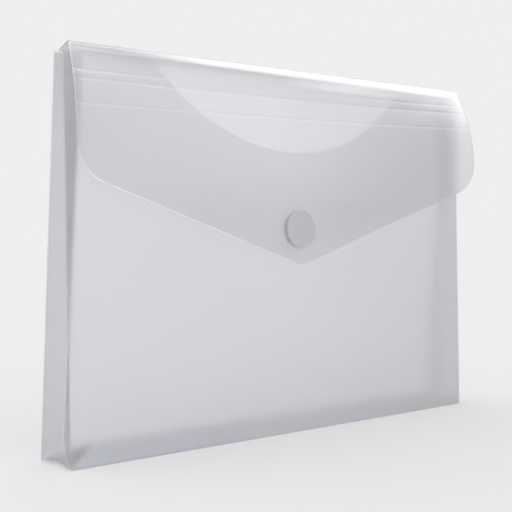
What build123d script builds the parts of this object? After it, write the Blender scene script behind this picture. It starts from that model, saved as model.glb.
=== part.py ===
from build123d import *
from math import acos, asin, cos, degrees, radians, sin, sqrt, tan
import os

# Expansion envelope of frosted polypropylene sheet, standing on its bottom folds.
# +Z is up and the pocket's front faces -Y. The origin is the middle of the back panel's bottom
# edge, on its outer face, so the envelope reaches from there towards -Y.

# Sheet and the small clearances between pieces
sheet = 0.5
fold_gap = 0.45
seam_gap = 0.12

# Pocket
envelope_width = 335.0
front_height = 235.0
back_extra_height = 1.0
base_depth = 35.5
front_lean = 0.7
back_lean = 5.35
panel_corner = 3.0

# Thumb cut-out in the front panel's top edge
cutout_width = 216.0
cutout_depth = 51.0
cutout_shoulder = 9.0

# Gussets: half the width of the strip, the level of the bottom folds, and the folded corner
gusset_half = 19.5
fold_level = 0.8
gusset_top_drop = 1.5
apex_rise = 14.0
apex_inset = 5.0
notch_rise = 4.0
corner_run = 22.0
corner_gap = 1.0

# Spine and flap
flap_clearance = 1.8
spine_rise = 4.2
flap_side_inset = 2.5
flap_side = 73.0
flap_point = 129.0
flap_corner = 25.0
flap_tip = 12.0
flap_left_spring = 8.2
flap_right_spring = 18.2

# Bow of the front panel: how far its middle stands in front of its straight side edges
front_bow = 4.6
low_bow = 3.6
low_bow_height = 50.0
high_bow = 1.2
high_bow_height = 190.0
straight_bow = 0.15
section_trim = 1.0

# Hook-and-loop coin: the loop disc on the pocket, the hook disc on the flap
coin_diameter = 25.0
coin_drop = 105.0
coin_margin = 2.0
adhesive_thickness = 0.2
loop_thickness = 2.0
hook_thickness = 1.6

half_width = envelope_width / 2
back_height = front_height + back_extra_height
flap_half_width = half_width - flap_side_inset
coin_stack = 2 * adhesive_thickness + loop_thickness + hook_thickness
coin_zone = coin_diameter / 2 + coin_margin
coin_top_drop = coin_drop - coin_zone


def back_inner(z):
    """Y of the back panel's inner face at height z."""
    return -z * tan(radians(back_lean)) - sheet / cos(radians(back_lean))


def front_inner(z):
    """Y of the front panel's inner face at height z."""
    return -base_depth + z * tan(radians(front_lean)) + sheet / cos(radians(front_lean))


def front_outer(z):
    """Y of the front panel's outer face at height z."""
    return front_inner(z) - sheet / cos(radians(front_lean))


# The two leaning panels are drawn on their outer faces, with local Y running up the panel.
back_plane = Plane(
    origin=(0, 0, 0),
    x_dir=(-1, 0, 0),
    z_dir=(0, cos(radians(back_lean)), sin(radians(back_lean))),
)
front_plane = Plane(
    origin=(0, -base_depth, 0),
    x_dir=(1, 0, 0),
    z_dir=(0, -cos(radians(front_lean)), sin(radians(front_lean))),
)


def bowed_section(z, middle, left, right, reach):
    """Face across a sheet at height z: two arcs that leave the middle along X, one sheet thick.

    middle, left and right are the Y of its inner face there, and reach is half its width.
    """
    with BuildSketch(Plane.XY.offset(z)) as section:
        with BuildLine():
            TangentArc((0, middle), (reach, right), tangent=(1, 0))
            Line((reach, right), (reach, right - sheet))
            TangentArc((0, middle - sheet), (reach, right - sheet), tangent=(1, 0))
            TangentArc((0, middle - sheet), (-reach, left - sheet), tangent=(-1, 0))
            Line((-reach, left - sheet), (-reach, left))
            TangentArc((0, middle), (-reach, left), tangent=(-1, 0))
        make_face()
    return section.sketch


# The spine runs from the middle of the back panel's top edge to the flap's fold, which stands
# clear of the front panel's top edge.
back_top_y = -back_height * sin(radians(back_lean)) - sheet / 2 * cos(radians(back_lean))
back_top_z = back_height * cos(radians(back_lean)) - sheet / 2 * sin(radians(back_lean))
front_top_z = front_height * cos(radians(front_lean))
flap_fold_y = front_outer(front_top_z) - flap_clearance - sheet / 2
flap_fold_z = back_top_z + spine_rise
spine_width = sqrt((back_top_y - flap_fold_y) ** 2 + spine_rise**2)
spine_slope = asin(spine_rise / spine_width)
coin_z = flap_fold_z - coin_drop

# Levels of the front panel's bow, from the bottom edge to the top. It is even behind the coin.
front_levels = (
    (0, straight_bow),
    (low_bow_height, low_bow),
    (coin_z - coin_zone, front_bow),
    (coin_z + coin_zone, front_bow),
    (high_bow_height, high_bow),
    (front_top_z, straight_bow),
)


def bow_at(z):
    """Bow of the front panel at height z, straight between its levels."""
    for (low_z, low), (high_z, high) in zip(front_levels, front_levels[1:]):
        if z <= high_z:
            return low + (high - low) * (z - low_z) / (high_z - low_z)
    return straight_bow


# The bottom gusset is a low tent between the panels, with its crest up inside the pocket.
rear_fold_y = back_inner(fold_level)
front_fold_y = front_inner(fold_level)
bottom_half = (rear_fold_y - front_fold_y) / 2
bottom_slope = acos(bottom_half / gusset_half)
crest_y = (rear_fold_y + front_fold_y) / 2
under_offset = sheet + 2 * seam_gap
crest_length = gusset_half - under_offset * tan(bottom_slope)
crest_z = fold_level + gusset_half * sin(bottom_slope) - under_offset / cos(bottom_slope)


# Back panel: the whole rectangle of the pocket, cut back at the top for the spine's fold
with BuildPart() as back_panel:
    with BuildSketch(back_plane):
        with Locations((0, (back_height - fold_gap) / 2)):
            Rectangle(envelope_width, back_height - fold_gap)
    extrude(amount=-sheet)

# Front panel: a little lower than the back and bowed outwards between its straight side edges,
# with the arc cut out of its top edge for the thumb
with BuildPart() as front_panel:
    loft(
        [
            bowed_section(z, front_inner(z) - bow, front_inner(z), front_inner(z), half_width)
            for z, bow in front_levels
        ],
        ruled=True,
    )
    with BuildSketch(Plane.XZ) as front_outline:
        with Locations((0, front_top_z / 2)):
            Rectangle(envelope_width, front_top_z)
        fillet(front_outline.vertices().group_by(Axis.Y)[-1], panel_corner)
        cutout_radius = ((cutout_width / 2) ** 2 + cutout_depth**2) / (2 * cutout_depth)
        with Locations((0, front_top_z - cutout_depth + cutout_radius)):
            Circle(cutout_radius, mode=Mode.SUBTRACT)
        shoulders = front_outline.vertices().group_by(Axis.Y)[-1].sort_by(Axis.X)
        fillet(shoulders[1:-1], cutout_shoulder)
    extrude(amount=2 * base_depth, mode=Mode.INTERSECT)


def bottom_strip(x_sign, fold_y, slope_sign):
    """One half of the bottom gusset: a flat strip from a bottom fold up to the crest.

    Its upper face runs through the fold line and its underside passes the crest line, so that
    the two halves can close on each other and on the panels.
    """
    strip_plane = Plane(
        origin=(0, fold_y, fold_level),
        x_dir=(x_sign, 0, 0),
        z_dir=(0, slope_sign * sin(bottom_slope), cos(bottom_slope)),
    )
    fold_end = half_width - sheet - seam_gap - corner_gap
    crest_end = half_width - corner_run - corner_gap
    with BuildPart() as strip:
        with BuildSketch(strip_plane.offset(-seam_gap)):
            with BuildLine():
                Polyline(
                    (-fold_end, fold_gap / 2),
                    (fold_end, fold_gap / 2),
                    (crest_end, crest_length - fold_gap / 2),
                    (-crest_end, crest_length - fold_gap / 2),
                    close=True,
                )
            make_face()
        extrude(amount=-sheet)
    return strip


bottom_gusset_rear = bottom_strip(-1, rear_fold_y, 1)
bottom_gusset_front = bottom_strip(1, front_fold_y, -1)


def gusset_front(z):
    """Y of the middle of the gusset sheet where it is welded to the front panel."""
    return front_inner(z) + sheet / 2 + seam_gap


def gusset_rear(z):
    """Y of the middle of the gusset sheet where it is welded to the back panel."""
    return back_inner(z) - sheet / 2 - seam_gap


def gusset_middle(z):
    """Y of the gusset's centre crease."""
    return (gusset_front(z) + gusset_rear(z)) / 2


def gusset_inset(z):
    """How far the centre crease of a strip of full width lies inside the pocket's edge."""
    return sqrt(gusset_half**2 - (gusset_rear(z) / 2 - gusset_front(z) / 2) ** 2)


def side_gusset(side):
    """Folded sheet that closes one side of the pocket and wraps round its bottom corner.

    Above the apex the sheet folds inwards along its centre crease. Below it, two facets fall
    outwards to a notch, and two more run in under the pocket to the bottom gusset's crest.
    """
    edge_x = half_width - sheet / 2
    top_z = front_top_z - gusset_top_drop
    strip_crest_z = crest_z + sheet / 2
    front_foot = (side * edge_x, gusset_front(fold_level), fold_level)
    rear_foot = (side * edge_x, gusset_rear(fold_level), fold_level)
    front_top = (side * edge_x, gusset_front(top_z), top_z)
    rear_top = (side * edge_x, gusset_rear(top_z), top_z)
    crease_top = (side * (edge_x - gusset_inset(top_z)), gusset_middle(top_z), top_z)
    apex = (side * (edge_x - apex_inset), gusset_middle(apex_rise), apex_rise)
    notch = (side * edge_x, gusset_middle(notch_rise), notch_rise)
    crest_start = (side * (edge_x - corner_run + corner_gap), crest_y, strip_crest_z)
    facets = []
    for foot, top in ((front_foot, front_top), (rear_foot, rear_top)):
        facets.append((foot, apex, top))
        facets.append((apex, crease_top, top))
        facets.append((foot, apex, notch))
        facets.append((foot, notch, crest_start))
    with BuildPart() as gusset:
        for a, b, c in facets:
            across = Vector(*b) - Vector(*a)
            along = Vector(*c) - Vector(*a)
            facet_plane = Plane(origin=a, x_dir=across, z_dir=across.cross(along))
            corners = [facet_plane.to_local_coords(Vector(*point)) for point in (a, b, c)]
            with BuildSketch(facet_plane):
                with BuildLine():
                    Polyline(*[(corner.X, corner.Y) for corner in corners], close=True)
                make_face()
            extrude(amount=sheet / 2, both=True)
    return gusset


left_gusset = side_gusset(-1)
right_gusset = side_gusset(1)

# Flap spine: the narrow strip over the pocket's mouth, between two folds
spine_plane = Plane(
    origin=(0, back_top_y, back_top_z),
    x_dir=(-1, 0, 0),
    z_dir=(0, sin(spine_slope), cos(spine_slope)),
)
with BuildPart() as flap_spine:
    with BuildSketch(spine_plane):
        with Locations((0, spine_width / 2)):
            Rectangle(2 * flap_half_width, spine_width - 2 * fold_gap)
    extrude(amount=sheet / 2, both=True)


def flap_section(drop, spring):
    """Face across the flap at one level: held at the middle, with both ends sprung forward."""
    z = flap_fold_z - drop
    level = min(drop / coin_top_drop, 1)
    gap = flap_clearance + (coin_stack - flap_clearance) * level
    middle = front_outer(z) - bow_at(z) - gap
    left = front_outer(z) - flap_clearance - spring * flap_left_spring
    right = front_outer(z) - flap_clearance - spring * flap_right_spring
    return bowed_section(z, middle, left, right, flap_half_width + section_trim)


# Flap: a sheet that bows along its width, cut to a wide point with rounded corners
flap_levels = (
    (0, 0.01),
    (26, 0.66),
    (52, 0.96),
    (coin_top_drop, 1.0),
    (coin_drop + coin_zone, 1.0),
    (flap_point + section_trim, 1.0),
)
with BuildPart() as flap:
    loft([flap_section(drop, spring) for drop, spring in flap_levels], ruled=True)
    with BuildSketch(Plane.XZ) as flap_outline:
        with BuildLine():
            Polyline(
                (-flap_half_width, flap_fold_z - fold_gap),
                (flap_half_width, flap_fold_z - fold_gap),
                (flap_half_width, flap_fold_z - flap_side),
                (0, flap_fold_z - flap_point),
                (-flap_half_width, flap_fold_z - flap_side),
                close=True,
            )
        make_face()
        fillet(flap_outline.vertices().group_by(Axis.Y)[1], flap_corner)
        fillet(flap_outline.vertices().sort_by(Axis.Y)[0], flap_tip)
    extrude(amount=3 * base_depth, mode=Mode.INTERSECT)


def coin_disc(stand_off, thickness):
    """Round disc parallel to the front panel, its rear face stand_off in front of its bow."""
    coin_height = coin_z / cos(radians(front_lean))
    with BuildPart() as disc:
        with BuildSketch(front_plane.offset(front_bow + stand_off)):
            with Locations((0, coin_height)):
                Circle(coin_diameter / 2)
        extrude(amount=thickness)
    return disc


# The two coins meet face to face, each stuck down by its own adhesive disc.
hook_seat = adhesive_thickness + loop_thickness
loop_adhesive = coin_disc(0, adhesive_thickness)
loop_coin = coin_disc(adhesive_thickness, loop_thickness)
hook_coin = coin_disc(hook_seat, hook_thickness)
hook_adhesive = coin_disc(hook_seat + hook_thickness, adhesive_thickness)

pieces = {
    "back_panel": back_panel,
    "front_panel": front_panel,
    "bottom_gusset_rear": bottom_gusset_rear,
    "bottom_gusset_front": bottom_gusset_front,
    "left_gusset": left_gusset,
    "right_gusset": right_gusset,
    "flap_spine": flap_spine,
    "flap": flap,
    "loop_adhesive": loop_adhesive,
    "loop_coin": loop_coin,
    "hook_coin": hook_coin,
    "hook_adhesive": hook_adhesive,
}

os.makedirs("parts", exist_ok=True)
for label, piece in pieces.items():
    piece.part.label = label
    export_step(piece.part, f"parts/{label}.step")

print("back fold", 0, back_top_y, back_top_z)
print("flap fold", 0, flap_fold_y, flap_fold_z)
print("rear bottom fold", 0, rear_fold_y, fold_level)
print("crest fold", 0, crest_y, crest_z)
print("front bottom fold", 0, front_fold_y, fold_level)
print("bottom slope", degrees(bottom_slope), "crest length", crest_length)
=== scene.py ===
from math import cos, radians, sin, tan

import bpy
import numpy as np
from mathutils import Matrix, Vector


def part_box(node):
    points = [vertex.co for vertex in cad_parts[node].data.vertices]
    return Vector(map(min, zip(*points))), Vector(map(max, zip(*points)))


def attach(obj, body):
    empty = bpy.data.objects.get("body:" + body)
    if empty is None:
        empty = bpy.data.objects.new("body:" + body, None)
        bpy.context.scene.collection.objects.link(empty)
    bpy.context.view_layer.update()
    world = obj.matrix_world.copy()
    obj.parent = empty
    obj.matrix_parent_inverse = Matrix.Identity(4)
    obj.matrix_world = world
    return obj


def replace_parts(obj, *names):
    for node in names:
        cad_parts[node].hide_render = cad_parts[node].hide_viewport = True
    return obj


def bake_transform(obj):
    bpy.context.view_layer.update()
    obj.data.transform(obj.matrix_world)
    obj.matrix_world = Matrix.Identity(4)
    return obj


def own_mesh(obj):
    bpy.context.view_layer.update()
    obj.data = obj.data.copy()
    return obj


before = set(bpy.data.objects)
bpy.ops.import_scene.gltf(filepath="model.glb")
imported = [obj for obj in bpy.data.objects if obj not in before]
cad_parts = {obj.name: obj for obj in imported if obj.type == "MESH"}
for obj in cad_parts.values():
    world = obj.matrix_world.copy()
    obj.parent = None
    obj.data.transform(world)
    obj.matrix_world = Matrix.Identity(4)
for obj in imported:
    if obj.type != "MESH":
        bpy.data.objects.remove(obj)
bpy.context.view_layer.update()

# Studio: a plain pale floor that runs out to a backdrop of the same tone, one broad soft lamp
# high on the right and even light all round. The camera stands where the photograph was taken.
MM = 0.001
BACKDROP = (0.862, 0.862, 0.864)
EVEN_LIGHT = 0.80
FLOOR_RADIUS = 30
FLOOR_SIDES = 96


class Socket:
    """A number in a material's node tree. Each sum on it adds one Math node."""

    def __init__(self, finish, socket):
        self.finish = finish
        self.socket = socket

    def math(self, operation, first, second):
        return self.finish.node("Math", {"operation": operation}, {0: first, 1: second})

    def __add__(self, other):
        return self.math("ADD", self, other)

    def __sub__(self, other):
        return self.math("SUBTRACT", self, other)

    def __rsub__(self, other):
        return self.math("SUBTRACT", other, self)

    def __mul__(self, other):
        return self.math("MULTIPLY", self, other)

    def up_to(self, other):
        """The lesser of the two."""
        return self.math("MINIMUM", self, other)

    __radd__ = __add__
    __rmul__ = __mul__


class Finish:
    """The node tree of a material or of the world, from an empty tree to its output node."""

    def __init__(self, owner):
        owner.use_nodes = True
        self.owner = owner
        self.tree = owner.node_tree
        self.tree.nodes.clear()

    def node(self, kind, settings=None, sockets=None, out=0):
        """Add one node: its settings first, then a value or a link for each named socket."""
        node = self.tree.nodes.new("ShaderNode" + kind)
        for name, value in (settings or {}).items():
            setattr(node, name, value)
        for name, value in (sockets or {}).items():
            if isinstance(value, Socket):
                self.tree.links.new(value.socket, node.inputs[name])
            else:
                node.inputs[name].default_value = value
        return Socket(self, node.outputs[out]) if node.outputs else node


world = bpy.data.worlds.new("studio")
bpy.context.scene.world = world
light = Finish(world)
seen = light.node("LightPath", out="Is Camera Ray")
glossy = light.node("LightPath", out="Is Glossy Ray")
through = light.node("LightPath", out="Is Transmission Ray")
even = light.node("Background", None, {"Color": (EVEN_LIGHT, EVEN_LIGHT, EVEN_LIGHT, 1)})
backdrop = light.node("Background", None, {"Color": (*BACKDROP, 1)})
shown = light.node("MixShader", None, {0: (seen + glossy + through).up_to(1), 1: even, 2: backdrop})
light.node("OutputWorld", None, {"Surface": shown})

floor_mesh = bpy.data.meshes.new("floor")
floor_turn = np.linspace(0, 2 * np.pi, FLOOR_SIDES + 1)[:-1]
floor_rim = np.stack([np.cos(floor_turn), np.sin(floor_turn), 0 * floor_turn], axis=1)
floor_mesh.from_pydata((FLOOR_RADIUS * floor_rim).tolist(), [], [list(range(FLOOR_SIDES))])
floor = bpy.data.objects.new("floor", floor_mesh)
bpy.context.scene.collection.objects.link(floor)
paper = Finish(bpy.data.materials.new("floor_paper"))
paper_place = paper.node("TexCoord", out="Object")
paper_grain = paper.node("TexNoise", None, {"Vector": paper_place, "Scale": 3.0, "Detail": 4.0})
paper_colour = paper.node(
    "Mix",
    {"data_type": "RGBA"},
    {0: paper_grain, 6: (0.898, 0.898, 0.900, 1), 7: (0.910, 0.910, 0.912, 1)},
    out=2,
)
paper_coat = paper.node(
    "BsdfPrincipled",
    None,
    {"Base Color": paper_colour, "Roughness": 1.0, "Specular IOR Level": 0.0},
)
paper.node("OutputMaterial", None, {"Surface": paper_coat})
floor_mesh.materials.append(paper.owner)

lamp_light = bpy.data.lights.new("soft_lamp", "SUN")
lamp_light.energy = 0.7
lamp_light.angle = radians(34)
lamp = bpy.data.objects.new("soft_lamp", lamp_light)
lamp.rotation_euler = (radians(48), 0, radians(55))
bpy.context.scene.collection.objects.link(lamp)

lens = bpy.data.cameras.new("camera")
lens.lens = 70.009
lens.sensor_width = 36
camera = bpy.data.objects.new("camera", lens)
camera.location = (-0.436191, -0.527039, 0.128633)
camera.rotation_euler = (radians(88.9598), radians(0.5159), radians(-39.3580))
bpy.context.scene.collection.objects.link(camera)
bpy.context.scene.camera = camera
bpy.context.scene.view_settings.view_transform = "Standard"
bpy.context.scene.cycles.transparent_max_bounces = 32
bpy.context.scene.cycles.transmission_bounces = 32
bpy.context.scene.cycles.max_bounces = 32


# Back panel: the rear wall of the pocket, a leaning rectangle of half-millimetre polypropylene
# with one frosted, finely grained face. It is die-cut with the whole wallet from one sheet.
SHEET = 0.5
HALF_WIDTH = 167.5
BACK_HEIGHT = 236.0
BACK_LEAN = radians(5.35)
BACK_BOW = 0.8
RIM = 0.8
SHARP_ANGLE = radians(40)


def stations(stops, counts):
    """Places along a line: counts[i] even steps from stops[i] to stops[i + 1]."""
    runs = [np.linspace(a, b, n, endpoint=False) for a, b, n in zip(stops, stops[1:], counts)]
    return np.append(np.concatenate(runs), stops[-1])


def new_piece(name, points, faces, marks):
    """Mesh object from points in millimetres, smooth but sharp at its rims.

    marks holds one number a point for each named attribute that the material reads.
    """
    mesh = bpy.data.meshes.new(name)
    mesh.from_pydata((points * MM).tolist(), [], faces)
    mesh.polygons.foreach_set("use_smooth", np.ones(len(mesh.polygons), bool))
    mesh.set_sharp_from_angle(angle=SHARP_ANGLE)
    for label, values in marks.items():
        mesh.attributes.new(label, "FLOAT", "POINT").data.foreach_set("value", values)
    piece = bpy.data.objects.new(name, mesh)
    bpy.context.scene.collection.objects.link(piece)
    return piece


def leaf(name, middle, white, painted_shade=0.0):
    """Closed sheet on a grid: the middle surface plus and minus half the sheet along its normal.

    The normal is the cross product of the grid's two directions, and a band of faces round the
    grid's border joins the two sides. white marks milky whitening with a painted glow and painted
    highlights, and the second mark holds painted shade, for the film.
    """
    normal = np.cross(np.gradient(middle, axis=1), np.gradient(middle, axis=0))
    normal /= np.linalg.norm(normal, axis=2, keepdims=True)
    sides = [middle + normal * SHEET / 2, middle - normal * SHEET / 2]
    points = np.concatenate([side.reshape(-1, 3) for side in sides])
    count = middle.shape[0] * middle.shape[1]
    grid = np.arange(count).reshape(middle.shape[:2])
    near = np.stack([grid[:-1, :-1], grid[:-1, 1:], grid[1:, 1:], grid[1:, :-1]], axis=-1)
    near = near.reshape(-1, 4)
    rim = np.concatenate([grid[0, :-1], grid[:-1, -1], grid[-1, :0:-1], grid[:0:-1, 0]])
    following = np.roll(rim, -1)
    edge = np.stack([following, rim, rim + count, following + count], axis=-1)
    faces = np.concatenate([near, near[:, ::-1] + count, edge]).tolist()
    marks = {}
    for label, mark in (("white", white), ("painted_shade", painted_shade)):
        marks[label] = np.tile(np.broadcast_to(mark, grid.shape).ravel(), 2)
    return new_piece(name, points, faces, marks)


WHITE_MILK = 0.25
MOST_MILK = 0.95
# Share of the film's tint kept where painted shade is marked.
PAINTED_SHADE_TINT = 0.78


def frosted_sheet(name, tint, haze, roughness):
    """Frosted film: light goes through and is scattered by the rough faces, so that what lies
    further behind looks softer. A share, haze, is milky, and clouds and a fine grain vary it.

    The white attribute adds milk on folds, scores and cut edges, and there the milk gives off a
    painted glow. On the flap and the back panel it also carries painted highlights. The points
    marked for painted shade get a darker tint.
    """
    film = Finish(bpy.data.materials.new(name))
    place = film.node("TexCoord", out="Object")
    grain = film.node("TexNoise", None, {"Vector": place, "Scale": 1400.0, "Detail": 2.0})
    cloud = film.node("TexNoise", None, {"Vector": place, "Scale": 11.0, "Detail": 3.0})
    white = film.node("Attribute", {"attribute_name": "white"}, out="Fac")
    painted_shade = film.node("Attribute", {"attribute_name": "painted_shade"}, out="Fac")
    mottle = (cloud - 0.5) * 0.03 + (grain - 0.5) * 0.02
    share = (haze + mottle + white * WHITE_MILK).up_to(MOST_MILK)
    bump = film.node("Bump", None, {"Strength": 0.2, "Distance": 0.00004, "Height": grain})
    rough = roughness + (cloud - 0.5) * 0.08
    # Painted shade: the film's tint is darkened where its points are marked for shade.
    shaded_tint = tuple(PAINTED_SHADE_TINT * part for part in tint)
    colour = film.node("Mix", {"data_type": "RGBA"}, {0: painted_shade, 6: (*tint, 1), 7: (*shaded_tint, 1)}, out=2)
    clear_skin = film.node(
        "BsdfPrincipled",
        None,
        {
            "Base Color": colour,
            "Roughness": rough,
            "IOR": 1.49,
            "Transmission Weight": 1.0,
            "Normal": bump,
        },
    )
    milk_colour = film.node(
        "Mix",
        {"data_type": "RGBA"},
        {0: white.up_to(1), 6: (0.78, 0.785, 0.82, 1), 7: (0.93, 0.935, 0.95, 1)},
        out=2,
    )
    # Painted glow: the milk gives off light of its own where the white attribute is high, standing in
    # for a highlight.
    painted_glow = film.node(
        "Mix",
        {"data_type": "RGBA"},
        {0: (white * 0.3).up_to(1), 6: (0.0, 0.0, 0.0, 1), 7: (0.24, 0.24, 0.245, 1)},
        out=2,
    )
    milk_skin = film.node(
        "BsdfPrincipled",
        None,
        {
            "Base Color": milk_colour,
            "Roughness": rough,
            "Emission Color": painted_glow,
            "Emission Strength": 1.0,
            "Normal": bump,
        },
    )
    surface = film.node("MixShader", None, {0: share, 1: clear_skin, 2: milk_skin})
    lamp_ray = film.node("LightPath", out="Is Shadow Ray")
    open_way = film.node("BsdfTransparent", None, {"Color": (0.94, 0.942, 0.95, 1)})
    lit = film.node("MixShader", None, {0: lamp_ray, 1: surface, 2: open_way})
    film.node("OutputMaterial", None, {"Surface": lit})
    return film.owner


back_film = frosted_sheet("back_film", (0.990, 0.992, 1.0), 0.010, 0.30)
back_x = stations(
    (-HALF_WIDTH, RIM - HALF_WIDTH, -150, 150, HALF_WIDTH - RIM, HALF_WIDTH),
    (3, 12, 80, 12, 3),
)
back_rise = stations((0, RIM, 12, 224, BACK_HEIGHT - RIM, BACK_HEIGHT), (3, 8, 60, 8, 3))
back_x, back_rise = np.meshgrid(back_x, back_rise)
back_dome = np.cos(np.pi / 2 * back_x / HALF_WIDTH) * np.sin(np.pi * back_rise / BACK_HEIGHT)
back_depth = SHEET / 2 + BACK_BOW * back_dome
back_middle = np.stack(
    [
        back_x,
        -back_rise * sin(BACK_LEAN) - back_depth * cos(BACK_LEAN),
        back_rise * cos(BACK_LEAN) - back_depth * sin(BACK_LEAN),
    ],
    axis=-1,
)
back_white = 0.5 * np.exp(-((HALF_WIDTH - np.abs(back_x)) / 0.7) ** 2)
back_white += 0.5 * np.exp(-(back_rise / 0.8) ** 2)
back_white += 0.6 * np.exp(-((BACK_HEIGHT - back_rise) ** 2))
# Painted highlight: the back panel is whitened, and glows, more and more towards its top.
back_white += 0.3 * np.clip((back_rise - 190) / 46, 0, 1) ** 2
back_leaf = leaf("back_leaf", back_middle, back_white)
back_leaf.data.materials.append(back_film)
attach(back_leaf, "pocket_back")
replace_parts(back_leaf, "back_panel")


# Front panel: the front wall, of the same sheet, bowed out by the spring of its folds. A thumb
# cut-out is die-cut in its top edge, with rounded shoulders, and its side edges stay straight.
FRONT_HEIGHT = 234.982
FRONT_LEAN = radians(0.7)
BASE_DEPTH = 35.5
BOW_HEIGHTS = np.array((0.0, 50.0, 119.6, 148.7, 190.0, 236.0))
BOWS = np.array((0.0, 3.5, 4.6, 4.6, 1.2, -3.0))
BOW_SLOPES = np.array((0.1, 0.04, 0.0, 0.0, -0.1, -0.06))
CUTOUT_DEPTH = 51.0
CUTOUT_RADIUS = 139.853
SHOULDER = 9.0
CORNER = 3.0
TACK = (-156.5, 228.0)


def front_face(z):
    """Y of the front panel's outer face at its side edges, at height z."""
    return -BASE_DEPTH + z * tan(FRONT_LEAN)


def front_bow(z):
    """How far the middle stands out at height z: cubic steps between heights, bows and slopes."""
    step = np.searchsorted(BOW_HEIGHTS, z, side="right") - 1
    step = np.clip(step, 0, len(BOW_HEIGHTS) - 2)
    length = BOW_HEIGHTS[step + 1] - BOW_HEIGHTS[step]
    t = (z - BOW_HEIGHTS[step]) / length
    ends = BOWS[step] * (1 + 2 * t) * (1 - t) ** 2 + BOWS[step + 1] * t**2 * (3 - 2 * t)
    slopes = BOW_SLOPES[step] * t * (1 - t) ** 2 - BOW_SLOPES[step + 1] * t**2 * (1 - t)
    return ends + length * slopes


def front_top(x):
    """Height of the top edge at x: level, with a hollow arc between two round shoulders.

    Arc, shoulders and corners are circles: height = centre -+ the root of radius^2 - offset^2.
    """
    reach = np.abs(x)
    arc_centre = FRONT_HEIGHT - CUTOUT_DEPTH + CUTOUT_RADIUS
    shoulder_drop = arc_centre - FRONT_HEIGHT + SHOULDER
    shoulder_x = ((CUTOUT_RADIUS + SHOULDER) ** 2 - shoulder_drop**2) ** 0.5
    arc_end = shoulder_x * CUTOUT_RADIUS / (CUTOUT_RADIUS + SHOULDER)
    arc = arc_centre - np.sqrt(CUTOUT_RADIUS**2 - np.minimum(reach, arc_end) ** 2)
    bend = np.clip(reach - shoulder_x, -SHOULDER, 0)
    shoulder = FRONT_HEIGHT - SHOULDER + np.sqrt(SHOULDER**2 - bend**2)
    turn = np.clip(reach - HALF_WIDTH + CORNER, 0, CORNER)
    corner = FRONT_HEIGHT - CORNER + np.sqrt(CORNER**2 - turn**2)
    return np.where(reach < arc_end, arc, np.minimum(shoulder, corner))


front_x = stations(
    (-HALF_WIDTH, -166.8, -164.5, -159, -154, -122, -96, 96, 122, 164.5, 166.8, HALF_WIDTH),
    (4, 8, 4, 16, 10, 30, 64, 30, 14, 8, 4),
)
front_share = stations((0, 0.004, 0.05, 0.93, 0.996, 1), (3, 6, 60, 12, 3))
front_x, front_share = np.meshgrid(front_x, front_share)
front_z = front_share * front_top(front_x)
front_arch = front_bow(front_z) * (1 - (front_x / HALF_WIDTH) ** 2)
front_y = front_face(front_z) + SHEET / 2 - front_arch
front_middle = np.stack([front_x, front_y, front_z], axis=-1)
front_white = 0.55 * np.exp(-((HALF_WIDTH - np.abs(front_x)) / 0.7) ** 2)
front_white += 0.5 * np.exp(-((front_top(front_x) - front_z) / 0.6) ** 2)
front_white += 0.5 * np.exp(-(front_z / 0.8) ** 2)
tack_far = ((front_x - TACK[0]) / 0.9) ** 4 + ((front_z - TACK[1]) / 5) ** 4
front_white += 0.35 * np.exp(-tack_far)
# Painted shade: the film darkens towards the right side of the front panel.
front_painted_shade = 0.3 * np.clip(front_x / HALF_WIDTH, 0, 1)
front_leaf = leaf("front_leaf", front_middle, front_white, front_painted_shade)
# The front panel's film has a deeper tint than the back panel's, though both are one sheet: painted
# shade.
front_film = frosted_sheet("front_film", (0.905, 0.91, 0.93), 0.022, 0.35)
front_leaf.data.materials.append(front_film)
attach(front_leaf, "pocket_front")
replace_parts(front_leaf, "front_panel")


# Bottom gusset: two halves of one strip, creased to a low crest up inside the pocket. They are
# the wallet's own sheet, folded in at the bottom edge of each panel.
gusset_film = frosted_sheet("gusset_film", (0.960, 0.965, 0.985), 0.03, 0.36)
bottom_film = frosted_sheet("bottom_film", (0.995, 0.995, 0.998), 0.80, 0.38)
for half in ("bottom_gusset_rear", "bottom_gusset_front"):
    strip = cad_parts[half]
    strip.data.materials.clear()
    strip.data.materials.append(bottom_film)


# Side gussets: a strip on each side, folded inwards along its middle. At the bottom it turns
# outwards in a mitre, down to a notch, and runs on under the pocket to the bottom crest.
GUSSET_TOP = 233.48
FOLD_LEVEL = 0.8
SEAM_GAP = 0.12
EDGE_X = HALF_WIDTH - SHEET / 2
APEX_INSET = 5.2
APEX_Z = 14.0
CREASE_TOP = 14.6
CREASE_ROUND = 0.05
MITRE_ROUND = 0.3
FOOT_INSET = 0.15
NOTCH_Z = 4.0
CREST_START = (146.25, -17.78, 9.39)


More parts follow.
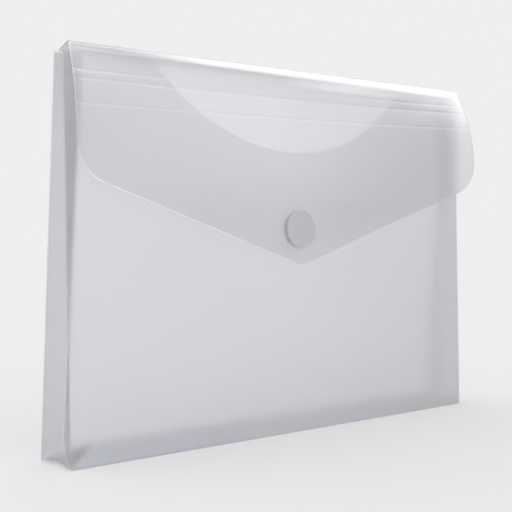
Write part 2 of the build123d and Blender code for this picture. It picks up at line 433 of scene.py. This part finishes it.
def side_gusset(name, side):
    """Folded strip on a grid: s runs from the front weld, -1, to the rear weld, 1.

    Its inset from the side is the lesser of two slopes. One grows with height from the apex and
    falls to nothing at the welds. The other leaves the foot and the notch and climbs inwards.
    Below the notch line each column runs straight to the start of the bottom crest.
    """
    s = stations((-1, -0.94, -0.15, 0.15, 0.94, 1), (4, 22, 20, 22, 4))
    share = stations((0, 0.004, 0.05, 0.85, 0.94, 1), (3, 6, 50, 24, 24))
    s, share = np.meshgrid(s, share)
    bent = np.sqrt(s**2 + CREASE_ROUND**2 * (1 - s**2))
    notch_line = FOLD_LEVEL + (NOTCH_Z - FOLD_LEVEL) * (1 - bent)
    z = GUSSET_TOP + (notch_line - GUSSET_TOP) * share
    front = front_face(z) + 1.5 * SHEET + SEAM_GAP
    rear = -z * tan(BACK_LEAN) - 1.5 * SHEET - SEAM_GAP
    growth = (CREASE_TOP - APEX_INSET) / (GUSSET_TOP - APEX_Z)
    upper = (APEX_INSET + growth * (z - APEX_Z)) * (1 - bent)
    lower = (z - notch_line) * APEX_INSET / (APEX_Z - NOTCH_Z)
    inset = (upper + lower - np.sqrt((upper - lower) ** 2 + MITRE_ROUND**2)) / 2
    inset = inset + FOOT_INSET * (1 - share)
    y = (front + rear) / 2 + s * (rear - front) / 2
    wall = np.stack([side * (EDGE_X - inset), y, z], axis=-1)
    run = stations((0, 0.08, 0.97), (5, 16))[1:, None, None]
    foot = wall[-1][None]
    crest = np.array([side * CREST_START[0], *CREST_START[1:]])
    fan = foot + (crest - foot) * run
    middle = np.concatenate([wall, fan])
    white = 0.55 * np.exp(-((s / 0.045) ** 2))
    white += 0.5 * np.exp(-(((1 - np.abs(s)) / 0.04) ** 2))
    white += 0.4 * np.exp(-(((upper - lower) / 0.6) ** 2))
    fan_white = 0.3 * np.exp(-run[:, :, 0] / 0.1) + np.zeros(fan.shape[:2])
    white = np.concatenate([white, fan_white])
    # Painted shade: the left gusset's rear facet and the whole right gusset wall above the mitre are
    # darkened.
    facet_painted_shade = 0.75 * np.clip(s / 0.1, 0, 1) if side < 0 else 0.55 + 0 * s
    painted_shade = np.concatenate([facet_painted_shade * (upper < lower), 0 * fan_white])
    gusset = leaf(name, middle, np.clip(white, 0, 1), painted_shade)
    gusset.data.materials.append(gusset_film)
    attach(gusset, "pocket_back")
    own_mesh(gusset)
    return gusset


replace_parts(side_gusset("left_side_gusset", -1), "left_gusset")
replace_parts(side_gusset("right_side_gusset", 1), "right_gusset")


# Flap: the sheet runs on over the mouth as a narrow spine, folds down and closes the front. It
# has a wide point with rounded corners, springs forward at both ends and carries four scores.
BACK_FOLD = (-22.2534, 234.9486)
FLAP_FOLD = (-34.6790, 239.1486)
FLAP_HALF = 165.0
FLAP_SIDE = 73.0
FLAP_POINT = 129.0
FLAP_CORNER = 25.0
FLAP_TIP = 12.0
FLAP_GAP = 1.8
SPINE_WIDTH = 13.117
FOLD_ROUND = 2.0
SCORED = 50.0
COIN_TOP_DROP = 90.5
COIN_STACK = 4.0
SPRING = (8.2, 18.2)
SPRING_RUN = 32
BOW_RUN = 20
SCORES = ((3.2, 5.7, 0.3), (16.5, 13.0, 1.0), (21.0, 18.5, 0.25), (35.0, 30.0, 0.4))
SCORE_DEPTH = 0.12


def flap_edge(x):
    """Drop of the lower edge at x: two straight slopes, a round tip and two round corners."""
    reach = np.abs(x)
    slope = (FLAP_POINT - FLAP_SIDE) / FLAP_HALF
    stretch = (1 + slope**2) ** 0.5
    edge = FLAP_POINT - slope * reach
    tip_x = FLAP_TIP * slope / stretch
    tip = FLAP_POINT - FLAP_TIP * stretch + np.sqrt(FLAP_TIP**2 - np.minimum(reach, tip_x) ** 2)
    centre_x = FLAP_HALF - FLAP_CORNER
    centre_drop = FLAP_POINT - slope * centre_x - FLAP_CORNER * stretch
    turn = np.clip(reach - centre_x, 0, FLAP_CORNER)
    corner = centre_drop + np.sqrt(FLAP_CORNER**2 - turn**2)
    edge = np.where(reach < tip_x, tip, edge)
    return np.where(reach > centre_x + FLAP_CORNER * slope / stretch, corner, edge)


def flap_surface(x, drop):
    """Y of the flap's middle surface: a parabola from its middle out to its two sprung ends.

    The middle clears the pocket by a gap that grows down to the coins. The ends leave it by a
    spring that grows as the hyperbolic tangent of the drop.
    """
    z = FLAP_FOLD[1] - drop
    gap = FLAP_GAP + (COIN_STACK - FLAP_GAP) * np.minimum(drop / COIN_TOP_DROP, 1)
    lift = np.where(x < 0, SPRING[0], SPRING[1]) * np.tanh(drop / SPRING_RUN)
    bow = front_bow(z) * np.minimum(drop / BOW_RUN, 1)
    out = (x / FLAP_HALF) ** 2
    return front_face(z) - SHEET / 2 - (gap + bow) * (1 - out) - (FLAP_GAP + lift) * out


def score_drop(x, left, right):
    """Drop of a score at x: a straight line from its drop at the left end to the right end's."""
    return left + (right - left) * (x + FLAP_HALF) / (2 * FLAP_HALF)


flap_x = stations(
    (-FLAP_HALF, -164.4, -148, -8, 8, 148, 164.4, FLAP_HALF),
    (3, 24, 60, 16, 60, 24, 3),
)
spine_run = stations((0, 0.6, 11, SPINE_WIDTH - FOLD_ROUND), (3, 12, 4))
fold_turn = stations((0, 1), (10,))[1:]
scored_drop = stations((FOLD_ROUND, SCORED), (96,))[1:]
lower_share = stations((0, 0.99, 1), (50, 4))[1:]
spine_slope = np.array([FLAP_FOLD[0] - BACK_FOLD[0], FLAP_FOLD[1] - BACK_FOLD[1]])
spine_slope /= np.linalg.norm(spine_slope)
spine_y = BACK_FOLD[0] + spine_slope[0] * spine_run[:, None] + 0 * flap_x
spine_z = BACK_FOLD[1] + spine_slope[1] * spine_run[:, None] + 0 * flap_x
turn = fold_turn[:, None]
bend_y = (1 - turn) ** 2 * spine_y[-1] + 2 * turn * (1 - turn) * FLAP_FOLD[0]
bend_y = bend_y + turn**2 * flap_surface(flap_x, FOLD_ROUND)
bend_z = (1 - turn) ** 2 * spine_z[-1] + 2 * turn * (1 - turn) * FLAP_FOLD[1]
bend_z = bend_z + turn**2 * (FLAP_FOLD[1] - FOLD_ROUND)
flap_drop = np.concatenate(
    [
        scored_drop[:, None] + 0 * flap_x,
        SCORED + (flap_edge(flap_x) - SCORED) * lower_share[:, None],
    ]
)
flap_spread = flap_x + 0 * flap_drop
score_mark = 0
score_depth = 0
for score_left, score_right, score_white in SCORES:
    line = score_drop(flap_spread, score_left, score_right)
    mark = np.exp(-(((flap_drop - line) / 0.7) ** 2))
    score_mark = score_mark + score_white * mark
    score_depth = score_depth + SCORE_DEPTH * mark
flap_y = flap_surface(flap_spread, flap_drop) + score_depth
flap_middle = np.stack(
    [
        np.tile(flap_x, (len(spine_run) + len(fold_turn) + len(flap_drop), 1)),
        np.concatenate([spine_y, bend_y, flap_y]),
        np.concatenate([spine_z, bend_z, FLAP_FOLD[1] - flap_drop]),
    ],
    axis=-1,
)
to_edge = np.minimum(flap_edge(flap_x) - flap_drop, FLAP_HALF - np.abs(flap_spread))
band_foot = score_drop(flap_spread, *SCORES[0][:2])
# Painted highlights: the band from the fold down to the first score and a patch below it, right of
# the middle, are whitened so that they glow, weaker towards the left end, away from the lamp.
lit_share = np.clip((flap_spread + 150) / 80, 0.15, 1)
painted_fold_highlight = 3.4 * lit_share / (1 + np.exp((flap_drop - band_foot) / 0.5))
painted_highlight_patch = np.clip((flap_spread + 30) / 60, 0, 1) * np.clip((150 - flap_spread) / 90, 0, 1)
painted_highlight_patch = 1.7 * painted_highlight_patch * np.exp(-(((flap_drop - 8.5) / 3.2) ** 4))
flap_white = np.concatenate(
    [
        0.3 * np.exp(-(spine_run[:, None] ** 2)) + 0 * flap_x,
        # The turn of the fold carries a painted highlight too, weaker towards the left end.
        0.3 + 3.1 * turn * lit_share[:1],
        score_mark + painted_fold_highlight + painted_highlight_patch + 0.45 * np.exp(-((to_edge / 0.5) ** 2)),
    ]
)
# Painted shade: the flap's film darkens from just left of the middle out to its right end.
flap_painted_shade = 0.6 * np.clip((flap_x + 20) / 185, 0, 1)
flap_leaf = leaf("flap_leaf", flap_middle, flap_white, flap_painted_shade)
# The flap's film has a little deeper tint than the back panel's, though both are one sheet: painted
# shade.
flap_film = frosted_sheet("flap_film", (0.940, 0.943, 0.965), 0.018, 0.34)
flap_leaf.data.materials.append(flap_film)
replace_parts(flap_leaf, "flap_spine", "flap")
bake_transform(flap_leaf)


# Coin: two round patches of hook-and-loop tape, punched from white strip. The loop pile is
# stuck to the pocket and the hooks to the flap, each on a clear disc of adhesive.
COIN_RADIUS = 12.5
HOOK_PITCH = 1.4
FLAT = 0.999
FACE_OUT = np.array([0, -cos(FRONT_LEAN), sin(FRONT_LEAN)])
FACE_UP = np.array([0, sin(FRONT_LEAN), cos(FRONT_LEAN)])


def coin(name, node, relief, rounding):
    """Disc on a polar grid: across the rear face, round the edge and back over the front face.

    The edge is a quarter turn of the given radius at each side. relief lifts the front or the
    rear face by its formula of x and y in millimetres.
    """
    low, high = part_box(node)
    centre = np.array((low + high) / 2) / MM
    depth = (high - low).y / MM - 2 * COIN_RADIUS * tan(FRONT_LEAN)
    half = depth / 2
    quarter = np.linspace(0, np.pi / 2, 6)
    flat = np.linspace(0, COIN_RADIUS - rounding, 40)
    radius = np.concatenate([flat, COIN_RADIUS - rounding + rounding * np.sin(quarter[1:])])
    level = np.concatenate([0 * flat + half, half - rounding + rounding * np.cos(quarter[1:])])
    radius = np.concatenate([radius, radius[::-1]])
    level = np.concatenate([level, -level[::-1]])
    turn = np.linspace(0, 2 * np.pi, 145)[:-1]
    across = radius[1:-1, None] * np.cos(turn)
    along = radius[1:-1, None] * np.sin(turn)
    lift = level[1:-1, None] + relief(across, along, level[1:-1, None] / half)
    ring = centre + across[..., None] * np.array([1, 0, 0]) + along[..., None] * FACE_UP
    ring = ring + lift[..., None] * FACE_OUT
    poles = [centre + half * FACE_OUT, centre - half * FACE_OUT]
    points = np.concatenate([ring.reshape(-1, 3), poles])
    count = len(turn)
    grid = np.arange(ring.shape[0] * count).reshape(-1, count)
    following = np.roll(grid, -1, axis=1)
    quads = np.stack([grid[:-1], grid[1:], following[1:], following[:-1]], axis=-1).reshape(-1, 4)
    front_pole, rear_pole = ring.shape[0] * count, ring.shape[0] * count + 1
    front_cap = [[front_pole, a, b] for a, b in zip(grid[0], following[0])]
    rear_cap = [[rear_pole, b, a] for a, b in zip(grid[-1], following[-1])]
    faces = quads.tolist() + front_cap + rear_cap
    disc = new_piece(name, points, faces, {"white": np.zeros(len(points))})
    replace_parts(disc, node)
    return disc


def tape(name, colour, shade, scale, roughness):
    """Hook-and-loop tape: cells of pile or hooks, painted lighter on top with painted shade between
    them, and a fine random fuzz in the tone.
    """
    weave = Finish(bpy.data.materials.new(name))
    place = weave.node("TexCoord", out="Object")
    cell = weave.node("TexVoronoi", None, {"Vector": place, "Scale": scale}, out="Distance")
    fuzz = weave.node("TexNoise", None, {"Vector": place, "Scale": 2600.0, "Detail": 3.0})
    painted_shade_and_fuzz = (cell * 0.9 + (fuzz - 0.5) * 0.5).up_to(1)
    tone = weave.node("Mix", {"data_type": "RGBA"}, {0: painted_shade_and_fuzz, 6: (*colour, 1), 7: (*shade, 1)}, out=2)
    height = 1 - cell + fuzz * 0.5
    bump = weave.node("Bump", None, {"Strength": 0.6, "Distance": 0.0002, "Height": height})
    pile = weave.node(
        "BsdfPrincipled",
        None,
        {"Base Color": tone, "Roughness": roughness, "Normal": bump, "Sheen Weight": 0.15},
    )
    weave.node("OutputMaterial", None, {"Surface": pile})
    return weave.owner


def loop_relief(across, along, side):
    """Soft pile on the front face: low waves that cross at an angle."""
    first = np.sin(across * 2.6 + 0.8 * np.sin(along * 1.7))
    second = np.sin(along * 2.9 + 0.7 * np.cos(across * 1.9))
    return np.where(side > FLAT, -0.06 + 0.05 * first * second, 0)


def hook_relief(across, along, side):
    """Rows of hooks on the rear face: a peak at each pitch across and along."""
    peak = np.abs(np.sin(np.pi * across / HOOK_PITCH) * np.sin(np.pi * along / HOOK_PITCH))
    return np.where(side < -FLAT, 0.12 * (1 - peak), 0)


loop_dot = coin("loop_dot", "loop_coin", loop_relief, 0.5)
loop_tape = tape("loop_tape", (0.97, 0.97, 0.98), (0.86, 0.86, 0.88), 1500.0, 0.95)
loop_dot.data.materials.append(loop_tape)
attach(loop_dot, "pocket_front")
hook_dot = coin("hook_dot", "hook_coin", hook_relief, 0.4)
hook_tape = tape("hook_plastic", (0.98, 0.98, 0.985), (0.90, 0.90, 0.91), 900.0, 0.5)
hook_dot.data.materials.append(hook_tape)
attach(hook_dot, "flap_body")

glue = Finish(bpy.data.materials.new("clear_adhesive"))
glue_place = glue.node("TexCoord", out="Object")
glue_streak = glue.node("TexNoise", None, {"Vector": glue_place, "Scale": 160.0, "Detail": 2.0})
glue_colour = glue.node(
    "Mix",
    {"data_type": "RGBA"},
    {0: glue_streak, 6: (0.80, 0.81, 0.82, 1), 7: (0.88, 0.885, 0.89, 1)},
    out=2,
)
glue_skin = glue.node(
    "BsdfPrincipled",
    None,
    {"Base Color": glue_colour, "Roughness": 0.25, "Alpha": 0.15 + (glue_streak - 0.5) * 0.1},
)
glue.node("OutputMaterial", None, {"Surface": glue_skin})
for disc in ("loop_adhesive", "hook_adhesive"):
    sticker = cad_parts[disc]
    sticker.data.materials.clear()
    sticker.data.materials.append(glue.owner)
